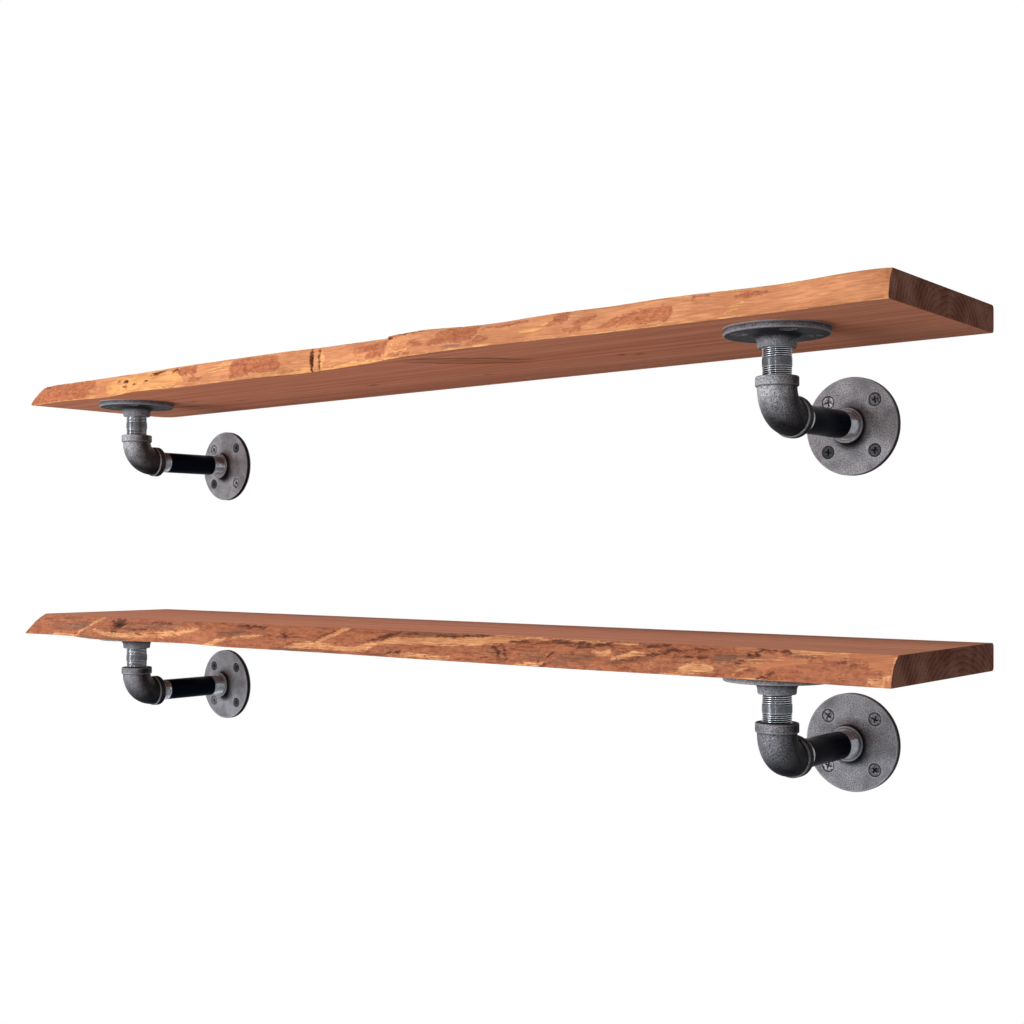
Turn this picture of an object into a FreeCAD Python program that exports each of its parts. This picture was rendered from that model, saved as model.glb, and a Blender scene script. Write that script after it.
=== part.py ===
import FreeCAD
import Part
import math
import os

# A set of two wall shelves: live-edge softwood boards, each carried by two brackets of threaded iron pipe.
# Millimetres. +X runs along the shelves, +Y goes into the wall, +Z is up.
# The origin is on the wall's surface, midway between the four wall flanges.

# The set on the wall
shelf_pitch = 305.0
bracket_inset = 136.5
wall_gap = 1.0

# Boards: the depth is measured at the underside, where the waney edge reaches furthest forward
board_length = 1219.0
board_depth = 228.6
board_thickness = 25.4
back_edge_radius = 3.5
upper_corner_radius = 25.0
upper_edge_bulge = 2.0
lower_edge_bulge = 3.5

# Three-quarter inch pipe and its tapered thread
pipe_od = 26.7
pipe_bore = 20.9
arm_length = 127.0
riser_length = 50.8
thread_length = 23.0
thread_engagement = 13.0
thread_taper_share = 1 / 16
thread_clearance = 0.1
pipe_end_chamfer = 0.8

# Floor flanges: a cast disc with a threaded hub
flange_od = 95.0
flange_rim = 6.5
flange_height = 18.0
flange_rim_radius = 1.0
hub_od = 34.0
hub_root_od = 36.0
hub_flare_radius = 8.0
hub_lip_radius = 1.2
hole_circle = 68.5
hole_diameter = 6.4
countersink_diameter = 13.8

# Ninety-degree elbows: a cast bend with a raised band round each mouth
elbow_reach = 33.3
elbow_body_od = 35.4
elbow_bore = 22.5
elbow_band_od = 38.7
elbow_band_width = 9.0
elbow_band_radius = 1.4
thread_runout = 1.0

# Flat-head wood screws with a cross recess
screw_head_diameter = 12.8
screw_shank_diameter = 4.2
screw_thread_diameter = 5.5
screw_tip_length = 6.0
wall_screw_length = 19.0
shelf_screw_length = 19.0
recess_span = 6.6
recess_width = 1.5
recess_depth = 2.4
seat_clearance = 0.05
pilot_clearance = 0.05
pilot_spare = 1.5

# How far a cut runs past what it cuts
overrun = 5.0

# The waney front edge, station by station from the left end to the right: the place along the board as
# a share of its length from the middle, then how far the underside and the top reach as shares of its depth
upper_edge_shares = [
    (-0.500, 0.980, 0.872),
    (-0.470, 0.976, 0.915),
    (-0.410, 0.972, 0.922),
    (-0.340, 0.968, 0.930),
    (-0.245, 0.976, 0.950),
    (-0.160, 0.978, 0.956),
    (-0.100, 0.955, 0.958),
    (-0.050, 0.935, 0.940),
    (-0.015, 0.950, 0.934),
    (0.020, 0.972, 0.934),
    (0.050, 1.002, 0.940),
    (0.075, 1.025, 0.985),
    (0.095, 1.036, 0.998),
    (0.118, 1.044, 0.976),
    (0.145, 1.044, 0.944),
    (0.190, 1.030, 0.945),
    (0.235, 1.014, 0.962),
    (0.300, 0.996, 0.955),
    (0.375, 0.982, 0.942),
    (0.440, 0.976, 0.936),
    (0.500, 0.970, 0.930),
]
lower_edge_shares = [
    (-0.500, 1.000, 0.856),
    (-0.468, 1.000, 0.912),
    (-0.425, 0.994, 0.926),
    (-0.390, 1.034, 0.932),
    (-0.358, 1.074, 0.938),
    (-0.325, 1.080, 0.935),
    (-0.285, 1.050, 0.936),
    (-0.245, 1.010, 0.968),
    (-0.212, 0.994, 0.950),
    (-0.170, 1.026, 0.890),
    (-0.120, 1.030, 0.868),
    (-0.065, 1.012, 0.862),
    (0.000, 1.000, 0.862),
    (0.070, 1.004, 0.858),
    (0.135, 1.000, 0.850),
    (0.200, 0.998, 0.860),
    (0.265, 0.990, 0.878),
    (0.330, 0.970, 0.856),
    (0.395, 0.948, 0.862),
    (0.450, 0.942, 0.884),
    (0.500, 0.952, 0.902),
]

# Places that follow from the sizes above
bracket_spacing = board_length - 2 * bracket_inset
arm_reach = flange_height + arm_length - 2 * thread_engagement
elbow_y = -(arm_reach + elbow_reach)
board_rise = elbow_reach + riser_length - 2 * thread_engagement + flange_height
elbow_bend_radius = elbow_reach - elbow_band_width
head_sink = (countersink_diameter - screw_head_diameter) / 2 - seat_clearance
head_height = (screw_head_diameter - screw_shank_diameter) / 2
screw_grip = flange_rim - head_sink

along_x = FreeCAD.Vector(1, 0, 0)
along_y = FreeCAD.Vector(0, 1, 0)
along_z = FreeCAD.Vector(0, 0, 1)
middle = FreeCAD.Vector(0, 0, 0)

# A flange or screw is drawn with its front upwards: against the wall it faces -Y, under a board -Z
facing_room = FreeCAD.Rotation(along_x, 90)
facing_down = FreeCAD.Rotation(along_x, 180)
facing_wall = FreeCAD.Rotation(along_x, -90)
lying_flat = FreeCAD.Rotation(along_x, -90)


def thread_radius(from_tip):
    """Outside radius of a pipe's tapered thread at a distance from the pipe's end."""
    full_radius = pipe_od / 2
    return full_radius - max(thread_length - from_tip, 0) * thread_taper_share / 2


def outline(corners):
    """Closed wire in the XZ plane through (x, z, corner radius) points."""
    edges = []
    last_end = None
    first_start = None
    count = len(corners)
    for i, (x, z, radius) in enumerate(corners):
        before = corners[i - 1]
        after = corners[(i + 1) % count]
        corner = FreeCAD.Vector(x, 0, z)
        back = (FreeCAD.Vector(before[0], 0, before[1]) - corner).normalize()
        on = (FreeCAD.Vector(after[0], 0, after[1]) - corner).normalize()
        half_turn = back.getAngle(on) / 2
        trim = radius / math.tan(half_turn)
        start = corner + back * trim
        end = corner + on * trim
        if last_end is None:
            first_start = start
        else:
            edges.append(Part.LineSegment(last_end, start).toShape())
        if radius > 0:
            to_centre = (back + on).normalize()
            nearest = corner + to_centre * (radius / math.sin(half_turn) - radius)
            edges.append(Part.Arc(start, nearest, end).toShape())
        last_end = end
    edges.append(Part.LineSegment(last_end, first_start).toShape())
    return Part.Wire(edges)


def turned(corners):
    """Solid turned about Z from a closed outline of (radius, height, corner radius) points."""
    return Part.Face(outline(corners)).revolve(middle, along_z, 360)


def hole_places():
    """Centres of the four screw holes on a flange's hole circle."""
    reach = hole_circle / 2 * math.sin(math.pi / 4)
    return [FreeCAD.Vector(sx * reach, sy * reach, 0) for sx in (-1, 1) for sy in (-1, 1)]


def placed(shape, turn, spot):
    """Copy of a shape, turned and then moved to its spot."""
    copy = shape.copy()
    copy.Placement = FreeCAD.Placement(spot, turn)
    return copy


def live_edge_cutter(edge_shares, bulge):
    """Everything in front of a board's waney edge, lofted through upright sections along X."""
    front = -board_depth - board_depth / 2
    below = -overrun
    above = board_thickness + overrun
    ends = {edge_shares[0][0]: -overrun, edge_shares[-1][0]: overrun}
    sections = []
    for length_share, under_share, top_share in edge_shares:
        x = length_share * board_length + ends.get(length_share, 0)
        under = -under_share * board_depth
        top = -top_share * board_depth
        belly = (under + top) / 2 - bulge
        points = [(front, below), (under, below), (under, 0)]
        lower_run = [FreeCAD.Vector(x, y, z) for y, z in points]
        points = [(top, board_thickness), (top, above), (front, above)]
        upper_run = [FreeCAD.Vector(x, y, z) for y, z in points]
        edges = [Part.LineSegment(a, b).toShape() for a, b in zip(lower_run, lower_run[1:])]
        belly_point = FreeCAD.Vector(x, belly, board_thickness / 2)
        edges.append(Part.Arc(lower_run[-1], belly_point, upper_run[0]).toShape())
        edges += [Part.LineSegment(a, b).toShape() for a, b in zip(upper_run, upper_run[1:])]
        edges.append(Part.LineSegment(upper_run[-1], lower_run[0]).toShape())
        sections.append(Part.Wire(edges))
    return Part.makeLoft(sections, True, False)


def board(edge_shares, bulge, left_corner_radius):
    """A board with its back edge on y = 0 and its underside on z = 0, eased along the back."""
    half = board_length / 2
    blank_depth = board_depth + board_depth / 4
    corners = [(-half, 0, left_corner_radius), (half, 0, 0), (half, -blank_depth, 0), (-half, -blank_depth, 0)]
    plan = Part.Face(placed(outline(corners), lying_flat, middle))
    blank = plan.extrude(along_z * board_thickness)
    back_edges = [
        edge for edge in blank.Edges
        if edge.CenterOfMass.y > -back_edge_radius and edge.BoundBox.XLength > half
    ]
    eased = blank.makeFillet(back_edge_radius, back_edges)
    return eased.cut(live_edge_cutter(edge_shares, bulge))


def pilot_holes():
    """Blind holes in a board's underside for the screws of its two flanges."""
    radius = screw_thread_diameter / 2 + pilot_clearance
    depth = shelf_screw_length - screw_grip + pilot_spare
    holes = []
    for side in (-1, 1):
        axis = FreeCAD.Vector(side * bracket_spacing / 2, elbow_y + wall_gap, -overrun)
        for place in hole_places():
            holes.append(Part.makeCylinder(radius, depth + overrun, axis + place, along_z))
    return holes


def pipe(length):
    """A nipple along Z from z = 0, threaded with a taper at both ends."""
    bore = pipe_bore / 2
    tip = thread_radius(0)
    body = thread_radius(thread_length)
    chamfer = pipe_end_chamfer
    return turned([
        (bore, 0, 0),
        (tip - chamfer, 0, 0),
        (tip, chamfer, 0),
        (body, thread_length, 0),
        (body, length - thread_length, 0),
        (tip, length - chamfer, 0),
        (tip - chamfer, length, 0),
        (bore, length, 0),
    ])


def socket_corners(mouth, floor):
    """Wall of a tapered socket, from the floor up to the mouth, that takes a pipe's end with clearance."""
    tip_height = mouth - thread_engagement
    at_mouth = thread_radius(thread_engagement) + thread_clearance
    at_floor = thread_radius(0) - (tip_height - floor) * thread_taper_share / 2 + thread_clearance
    return [(at_floor, floor), (at_mouth, mouth)]


def flange():
    """A floor flange with its flat back on z = 0 and its hub upwards."""
    (floor_radius, floor), (mouth_radius, mouth) = socket_corners(flange_height, 0)
    disc = turned([
        (floor_radius, floor, 0),
        (flange_od / 2, 0, 0),
        (flange_od / 2, flange_rim, flange_rim_radius),
        (hub_root_od / 2, flange_rim, hub_flare_radius),
        (hub_od / 2, flange_height, hub_lip_radius),
        (mouth_radius, mouth, 0),
    ])
    hole = hole_diameter / 2
    sink = countersink_diameter / 2
    cuts = []
    for place in hole_places():
        through = Part.makeCylinder(hole, flange_rim + 2 * overrun, place - along_z * overrun, along_z)
        seat_start = place + along_z * (flange_rim - (sink - hole))
        seat = Part.makeCone(hole, sink, sink - hole, seat_start, along_z)
        room = Part.makeCylinder(sink, overrun, place + along_z * flange_rim, along_z)
        cuts += [through, seat, room]
    return disc.cut(cuts)


def elbow():
    """A cast elbow with its corner at the middle, one mouth along +Y and the other along +Z."""
    bend = elbow_bend_radius
    centre = FreeCAD.Vector(0, bend, bend)
    bend_start = FreeCAD.Vector(0, bend, 0)
    outside = Part.Face(Part.Wire(Part.makeCircle(elbow_body_od / 2, bend_start, along_y)))
    inside = Part.Face(Part.Wire(Part.makeCircle(elbow_bore / 2, bend_start, along_y)))
    body = outside.revolve(centre, along_x, -90)
    passage = inside.revolve(centre, along_x, -90)
    band = turned([
        (0, bend, 0),
        (elbow_band_od / 2, bend, elbow_band_radius),
        (elbow_band_od / 2, elbow_reach, elbow_band_radius),
        (0, elbow_reach, 0),
    ])
    socket_floor = elbow_reach - thread_engagement - thread_runout
    (floor_radius, floor), (mouth_radius, mouth) = socket_corners(elbow_reach, socket_floor)
    socket = turned([(0, floor, 0), (floor_radius, floor, 0), (mouth_radius, mouth, 0), (0, mouth, 0)])
    turns = (FreeCAD.Rotation(), facing_wall)
    casting = body.fuse([placed(band, turn, middle) for turn in turns])
    hollow = [passage] + [placed(socket, turn, middle) for turn in turns]
    return casting.cut(hollow).removeSplitter()


def screw(length):
    """A flat-head screw, its head's top on z = 0 and its point downwards, with a rolled thread below its grip."""
    shank = screw_shank_diameter / 2
    thread = screw_thread_diameter / 2
    body = turned([
        (0, 0, 0),
        (screw_head_diameter / 2, 0, 0),
        (shank, -head_height, 0),
        (shank, -screw_grip, 0),
        (thread, -screw_grip, 0),
        (thread, screw_tip_length - length, 0),
        (0, -length, 0),
    ])
    half_span = recess_span / 2
    half_width = recess_width / 2
    corner = FreeCAD.Vector(-half_span, -half_width, -recess_depth)
    slot = Part.makeBox(recess_span, recess_width, recess_depth + overrun, corner)
    return body.cut([slot, placed(slot, FreeCAD.Rotation(along_z, 90), middle)])


def screw_group(one):
    """Four like screws, seated in a flange that lies with its back on z = 0."""
    seat = along_z * screw_grip
    driven_turns = (20, 65, -15, 50)
    places = zip(hole_places(), driven_turns)
    return Part.makeCompound(
        [placed(one, FreeCAD.Rotation(along_z, turn), place + seat) for place, turn in places]
    )


nodes = {}
flange_solid = flange()
elbow_solid = elbow()
arm_solid = pipe(arm_length)
riser_solid = pipe(riser_length)
wall_screws = screw_group(screw(wall_screw_length))
shelf_screws = screw_group(screw(shelf_screw_length))
boards = {
    "upper": board(upper_edge_shares, upper_edge_bulge, upper_corner_radius),
    "lower": board(lower_edge_shares, lower_edge_bulge, 0),
}
flange_heights = {"upper": shelf_pitch / 2, "lower": -shelf_pitch / 2}

for shelf, flange_z in flange_heights.items():
    underside = flange_z + board_rise
    drilled = boards[shelf].cut(pilot_holes())
    nodes[f"{shelf}_board"] = placed(drilled, FreeCAD.Rotation(), FreeCAD.Vector(0, -wall_gap, underside))
    for side, sign in (("left", -1), ("right", 1)):
        x = sign * bracket_spacing / 2
        bracket = f"{shelf}_{side}"
        on_wall = FreeCAD.Vector(x, 0, flange_z)
        under_board = FreeCAD.Vector(x, elbow_y, underside)
        arm_start = FreeCAD.Vector(x, thread_engagement - flange_height, flange_z)
        riser_start = FreeCAD.Vector(x, elbow_y, flange_z + elbow_reach - thread_engagement)
        elbow_spot = FreeCAD.Vector(x, elbow_y, flange_z)
        nodes[f"{bracket}_wall_flange"] = placed(flange_solid, facing_room, on_wall)
        nodes[f"{bracket}_wall_screws"] = placed(wall_screws, facing_room, on_wall)
        nodes[f"{bracket}_arm_pipe"] = placed(arm_solid, facing_room, arm_start)
        nodes[f"{bracket}_elbow"] = placed(elbow_solid, FreeCAD.Rotation(), elbow_spot)
        nodes[f"{bracket}_riser_pipe"] = placed(riser_solid, FreeCAD.Rotation(), riser_start)
        nodes[f"{bracket}_shelf_flange"] = placed(flange_solid, facing_down, under_board)
        nodes[f"{bracket}_shelf_screws"] = placed(shelf_screws, facing_down, under_board)

os.makedirs("parts", exist_ok=True)
for name, shape in nodes.items():
    shape.exportStep(f"parts/{name}.step")
    box = shape.BoundBox
    print(name, len(shape.Solids), "solids", shape.isValid(), round(shape.Volume, 1), "mm3",
          [round(v, 2) for v in (box.XMin, box.YMin, box.ZMin, box.XMax, box.YMax, box.ZMax)])
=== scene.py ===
import math

import bmesh
import bpy
import numpy as np
from mathutils import Matrix, Vector, noise
from mathutils.bvhtree import BVHTree


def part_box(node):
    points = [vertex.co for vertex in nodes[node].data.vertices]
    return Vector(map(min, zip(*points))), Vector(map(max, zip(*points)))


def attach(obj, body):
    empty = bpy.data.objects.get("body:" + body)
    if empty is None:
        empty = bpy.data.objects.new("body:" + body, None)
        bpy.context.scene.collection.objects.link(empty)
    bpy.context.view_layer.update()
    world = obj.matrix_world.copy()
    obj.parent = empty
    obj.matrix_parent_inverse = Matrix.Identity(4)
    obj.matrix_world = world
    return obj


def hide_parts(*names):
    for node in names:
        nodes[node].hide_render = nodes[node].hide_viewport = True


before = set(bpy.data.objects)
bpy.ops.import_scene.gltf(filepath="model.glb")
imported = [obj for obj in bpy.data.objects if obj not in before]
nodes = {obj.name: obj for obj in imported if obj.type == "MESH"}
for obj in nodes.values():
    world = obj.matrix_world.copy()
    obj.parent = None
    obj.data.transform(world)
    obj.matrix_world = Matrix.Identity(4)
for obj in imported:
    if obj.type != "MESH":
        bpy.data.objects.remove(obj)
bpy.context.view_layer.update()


# Wall flanges, shelf flanges and elbows
# Malleable iron pipe fittings, cast in sand, tumbled and left raw under a thin film of oil. The wall flanges
# are screwed to the wall, the elbows turn the pipe upwards and the shelf flanges carry the boards.

mm = 0.001
sides = ("left", "right")


def linear(code):
    """Linear RGBA of an sRGB hex colour."""
    parts = [int(code[i:i + 2], 16) / 255 for i in (1, 3, 5)]
    return [c / 12.92 if c <= 0.04045 else ((c + 0.055) / 1.055) ** 2.4 for c in parts] + [1.0]


def add(tree, kind, links=None, **settings):
    """Adds a node with its settings; links fill its inputs with nodes, sockets or plain values."""
    node = tree.nodes.new(kind)
    for name, value in settings.items():
        setattr(node, name, value)
    for name, value in (links or {}).items():
        named = [s for s in node.inputs if s.enabled and s.name == name]
        socket = named[0] if named else node.inputs[name]
        if isinstance(value, bpy.types.Node):
            value = [s for s in value.outputs if s.enabled][0]
        if isinstance(value, bpy.types.NodeSocket):
            tree.links.new(value, socket)
        else:
            socket.default_value = value
    return node


def new_material(name):
    """A new node material: itself, its node tree, its shader and the piece's own coordinates."""
    material = bpy.data.materials.new(name)
    material.use_nodes = True
    tree = material.node_tree
    place = add(tree, "ShaderNodeTexCoord").outputs["Object"]
    return material, tree, tree.nodes["Principled BSDF"], place


def finish_material(tree, shader, ground, coats, roughness, height, strength, relief):
    """Gives a shader its colour, its roughness and a bump of a given relief. The colour is a ground with
    coats laid over it, hex colours or nodes, each as far as its cover, from 0 to 1, lets it show."""
    colour = linear(ground)
    for cover, coat in coats:
        coat = linear(coat) if isinstance(coat, str) else coat
        colour = add(tree, "ShaderNodeMix", {"Factor": cover, "A": colour, "B": coat}, data_type="RGBA")
    skin = add(tree, "ShaderNodeBump", {"Height": height, "Strength": strength, "Distance": relief})
    tree.links.new(colour.outputs[2], shader.inputs["Base Color"])
    tree.links.new(roughness.outputs[0], shader.inputs["Roughness"])
    tree.links.new(skin.outputs[0], shader.inputs["Normal"])


def sand_cast_iron(name, dim, bright, side_shade):
    """Raw grey iron with the sand's grain in its skin: a fine salt and pepper of dim and bright specks, oil
    and grime with painted shade in the hollows, painted shade on the undersides and on the sides of some, and
    pale rubbed edges that also carry a painted highlight."""
    sand_grain = 1.1 * mm
    pour_mark = 16 * mm
    corner_reach = 7 * mm
    edge_reach = 1.8 * mm
    material, tree, shader, place = new_material(name)
    grain = add(tree, "ShaderNodeTexNoise", {
        "Vector": place, "Scale": 1 / sand_grain, "Detail": 3.0, "Roughness": 0.75})
    marks = add(tree, "ShaderNodeTexNoise", {"Vector": place, "Scale": 1 / pour_mark, "Detail": 3.0})
    pepper = add(tree, "ShaderNodeMapRange", {"Value": grain, "From Min": 0.36, "From Max": 0.66})
    shade = add(tree, "ShaderNodeMapRange", {"Value": marks, "From Min": 0.4, "From Max": 0.7, "To Max": 0.6})
    # Darker in the hollows and next to other parts, found by ambient occlusion: oil and grime there, and
    # painted shade.
    corner = add(tree, "ShaderNodeAmbientOcclusion", {"Distance": corner_reach}, samples=6)
    hollow_shade = add(tree, "ShaderNodeMapRange", {
        "Value": corner.outputs["AO"], "From Min": 0.5, "From Max": 0.95, "To Min": 0.95, "To Max": 0.0})
    facing = add(tree, "ShaderNodeSeparateXYZ", {0: add(tree, "ShaderNodeNewGeometry").outputs["Normal"]})
    # Painted shade: faces turned downwards go towards near black and lose their metallic sheen.
    underside_shade = add(tree, "ShaderNodeMapRange", {
        "Value": facing.outputs["Z"], "From Min": -0.08, "From Max": -0.75, "To Max": 0.93})
    # Painted shade: faces turned away from the Y axis, the rims of the wall flanges and the flanks of the
    # elbows, go towards near black.
    frontal = add(tree, "ShaderNodeMath", {0: facing.outputs["Y"]}, operation="ABSOLUTE")
    side = add(tree, "ShaderNodeMapRange", {
        "Value": frontal, "From Min": 0.6, "From Max": 0.15, "To Max": side_shade})
    # Pale rubbed edges, found by ambient occlusion inside the piece: wear, and a painted highlight along the
    # edges as well.
    edge = add(tree, "ShaderNodeAmbientOcclusion", {"Distance": edge_reach},
               samples=6, only_local=True, inside=True)
    rubbed = add(tree, "ShaderNodeMapRange", {
        "Value": edge.outputs["AO"], "From Min": 0.95, "From Max": 0.7, "To Max": 0.9})
    dullness = add(tree, "ShaderNodeMapRange", {"Value": grain, "To Min": 0.6, "To Max": 0.4})
    coats = ((pepper, bright), (shade, dim), (hollow_shade, "#101013"), (underside_shade, "#101118"), (side, "#0b0c12"),
             (rubbed, "#bcbdc4"))
    finish_material(tree, shader, dim, coats, dullness, grain, strength=0.3, relief=0.3 * mm)
    sheen = add(tree, "ShaderNodeMapRange", {"Value": underside_shade, "From Max": 0.9, "To Min": 0.1, "To Max": 0.0})
    tree.links.new(sheen.outputs[0], shader.inputs["Metallic"])
    shader.inputs["Specular IOR Level"].default_value = 0.01
    return material


# The colour of the specks, dim and bright, and how dark the sides are painted as shade
castings = {
    # The lower shelf's wall flanges and elbows are darker copies of the upper ones, as painted shade.
    "upper_wall_flange": ("#5f6167", "#d4d4da", 0.93), "lower_wall_flange": ("#54565c", "#bcbcc3", 0.93),
    "upper_elbow": ("#4a4d55", "#f4f5fa", 0.85), "lower_elbow": ("#363840", "#c4c5cc", 0.85),
    "upper_shelf_flange": ("#505158", "#cbccd3", 0.0), "lower_shelf_flange": ("#505158", "#cbccd3", 0.0),
}
for casting, tones in castings.items():
    iron = sand_cast_iron(f"{casting}_cast_iron", *tones)
    shelf, fitting = casting.split("_", 1)
    for side in sides:
        solid = nodes[f"{shelf}_{side}_{fitting}"].data
        solid.materials.clear()
        solid.materials.append(iron)


# Arm and riser nipples
# Short lengths of black steel pipe with a tapered thread cut on both ends, so the ends are bright bare steel.
# Each is screwed 13 mm into the fittings at its ends, and the rest of the thread stays in sight.

shelves = ("upper", "lower")
brackets = [f"{shelf}_{side}" for shelf in shelves for side in sides]
pipe_bore = 20.9 * mm
pipe_thread_pitch = 1.814 * mm
pipe_thread_depth = 0.95 * mm
# Share of the pitch from the middle of a crest to the top of its flank
pipe_crest_share = 0.17
pipe_taper = 1 / 16
pipe_taper_length = 23 * mm
pipe_end_chamfer = 1.05 * mm
arm_threads = (29 * mm, 27 * mm)
riser_threads = (22.5 * mm, 22.5 * mm)
# How far the black is worn off between the threads
arm_wear = 0.0
riser_wear = 0.35
pipe_sides = 56
pipe_row_height = 0.2 * mm
pipe_seam_gap = 0.004 * mm


def black_lacquered_steel():
    """Mill-black pipe under glossy lacquer; where the thread was cut through it, bright steel, darkened in
    its roots by cutting oil and by painted shade."""
    mill_streak = 9 * mm
    drag_line = 2.4 * mm
    material, tree, shader, place = new_material("black_lacquered_steel")
    bare = add(tree, "ShaderNodeAttribute", attribute_name="bare_thread").outputs["Fac"]
    root = add(tree, "ShaderNodeAttribute", attribute_name="thread_root").outputs["Fac"]
    marks = add(tree, "ShaderNodeTexNoise", {"Vector": place, "Scale": 1 / mill_streak, "Detail": 4.0})
    drag = add(tree, "ShaderNodeTexNoise", {
        "Vector": place, "Scale": 1 / drag_line, "Detail": 3.0, "Roughness": 0.6})
    # Thread roots go towards near black: cutting oil, and painted shade in the grooves.
    oil = add(tree, "ShaderNodeMapRange", {"Value": root, "From Min": 0.1, "From Max": 0.8})
    steel = add(tree, "ShaderNodeMix", {
        "Factor": drag, "A": linear("#666c75"), "B": linear("#dde2e9")}, data_type="RGBA")
    oiled = add(tree, "ShaderNodeMix", {"Factor": oil, "A": steel, "B": linear("#1a1a20")}, data_type="RGBA")
    gloss = add(tree, "ShaderNodeMapRange", {"Value": marks, "To Min": 0.16, "To Max": 0.34})
    dull = add(tree, "ShaderNodeMix", {"Factor": bare, "A": gloss, "B": 0.13})
    coats = ((marks, "#0b1124"), (bare, oiled))
    finish_material(tree, shader, "#050812", coats, dull, drag, strength=0.12, relief=0.2 * mm)
    sheen = add(tree, "ShaderNodeMath", {0: bare, 1: 0.85}, operation="MULTIPLY")
    tree.links.new(sheen.outputs[0], shader.inputs["Metallic"])
    shader.inputs["Specular IOR Level"].default_value = 0.012
    return material


def new_tree(name, sizes, takes_mesh=False):
    """A geometry tree with one named number input for each size, and its input sockets."""
    tree = bpy.data.node_groups.new(name, "GeometryNodeTree")
    tree.interface.new_socket("Geometry", in_out="OUTPUT", socket_type="NodeSocketGeometry")
    if takes_mesh:
        tree.interface.new_socket("Geometry", in_out="INPUT", socket_type="NodeSocketGeometry")
    for size in sizes:
        tree.interface.new_socket(size, in_out="INPUT", socket_type="NodeSocketFloat")
    return tree, add(tree, "NodeGroupInput").outputs


def turned_wall(tree, rows, shape):
    """A wall turned about Z: shape gives its radius, height and marks for a place along and around it."""
    grid = add(tree, "GeometryNodeMeshGrid", {
        "Size X": 1.0, "Size Y": 1.0, "Vertices X": rows, "Vertices Y": pipe_sides + 1})
    spot = add(tree, "ShaderNodeSeparateXYZ", {0: add(tree, "GeometryNodeInputPosition")})
    along = add(tree, "ShaderNodeMath", {0: spot.outputs["X"], 1: 0.5}, operation="ADD")
    around = add(tree, "ShaderNodeMath", {0: spot.outputs["Y"], 1: 0.5}, operation="ADD")
    radius, height, marks = shape(along, around)
    for name, value in marks.items():
        grid = add(tree, "GeometryNodeStoreNamedAttribute", {"Geometry": grid, "Name": name, "Value": value},
                   data_type="FLOAT", domain="POINT")
    angle = add(tree, "ShaderNodeMath", {0: around, 1: 2 * math.pi}, operation="MULTIPLY")
    cosine = add(tree, "ShaderNodeMath", {0: angle}, operation="COSINE")
    sine = add(tree, "ShaderNodeMath", {0: angle}, operation="SINE")
    x = add(tree, "ShaderNodeMath", {0: radius, 1: cosine}, operation="MULTIPLY")
    y = add(tree, "ShaderNodeMath", {0: radius, 1: sine}, operation="MULTIPLY")
    point = add(tree, "ShaderNodeCombineXYZ", {"X": x, "Y": y, "Z": height})
    return add(tree, "GeometryNodeSetPosition", {"Geometry": grid, "Position": point})


def threaded_end(tree, size, bare_length):
    """One end of a nipple, standing on z = 0: its tapered thread, its cut end face and the bore behind."""
    half_taper = add(tree, "ShaderNodeMath", {0: size["Taper"], 1: 2.0}, operation="DIVIDE")
    whole_drop = add(tree, "ShaderNodeMath", {0: size["Taper Length"], 1: half_taper}, operation="MULTIPLY")
    tip_radius = add(tree, "ShaderNodeMath", {0: size["Radius"], 1: whole_drop}, operation="SUBTRACT")
    face_radius = add(tree, "ShaderNodeMath", {0: tip_radius, 1: size["Chamfer"]}, operation="SUBTRACT")
    run_out = add(tree, "ShaderNodeMath", {0: bare_length, 1: size["Pitch"]}, operation="SUBTRACT")
    rows = add(tree, "ShaderNodeMath", {0: bare_length, 1: pipe_row_height}, operation="DIVIDE")

    def thread(along, around):
        height = add(tree, "ShaderNodeMath", {0: along, 1: bare_length}, operation="MULTIPLY")
        turns = add(tree, "ShaderNodeMath", {0: height, 1: size["Pitch"]}, operation="DIVIDE")
        phase = add(tree, "ShaderNodeMath", {0: turns, 1: around}, operation="SUBTRACT")
        flank = add(tree, "ShaderNodeMath", {0: phase, 1: 0.5}, operation="PINGPONG")
        valley = add(tree, "ShaderNodeMapRange", {
            "Value": flank, "From Min": pipe_crest_share, "From Max": 0.5})
        fade = add(tree, "ShaderNodeMapRange", {
            "Value": height, "From Min": run_out, "From Max": bare_length, "To Min": 1.0, "To Max": 0.0})
        share = add(tree, "ShaderNodeMath", {0: valley, 1: fade}, operation="MULTIPLY")
        cut = add(tree, "ShaderNodeMath", {0: share, 1: size["Depth"]}, operation="MULTIPLY")
        tapered = add(tree, "ShaderNodeMath", {0: height, 1: size["Taper Length"]}, operation="MINIMUM")
        rise = add(tree, "ShaderNodeMath", {0: tapered, 1: half_taper}, operation="MULTIPLY")
        cone = add(tree, "ShaderNodeMath", {0: tip_radius, 1: rise}, operation="ADD")
        threaded = add(tree, "ShaderNodeMath", {0: cone, 1: cut}, operation="SUBTRACT")
        bevel = add(tree, "ShaderNodeMath", {0: face_radius, 1: height}, operation="ADD")
        radius = add(tree, "ShaderNodeMath", {0: threaded, 1: bevel}, operation="MINIMUM")
        bare = add(tree, "ShaderNodeMapRange", {
            "Value": height, "From Min": run_out, "From Max": bare_length,
            "To Min": 1.0, "To Max": size["Wear"]})
        return radius, height, {"thread_root": share, "bare_thread": bare}

    def end_face(along, around):
        return add(tree, "ShaderNodeMix", {"Factor": along, "A": size["Bore"], "B": face_radius}), 0.0, {}

    def bore(along, around):
        return size["Bore"], add(tree, "ShaderNodeMath", {0: along, 1: bare_length}, operation="MULTIPLY"), {}

    end = add(tree, "GeometryNodeJoinGeometry")
    for wall_rows, shape in ((rows, thread), (2, end_face), (2, bore)):
        tree.links.new(turned_wall(tree, wall_rows, shape).outputs[0], end.inputs[0])
    return end


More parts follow.
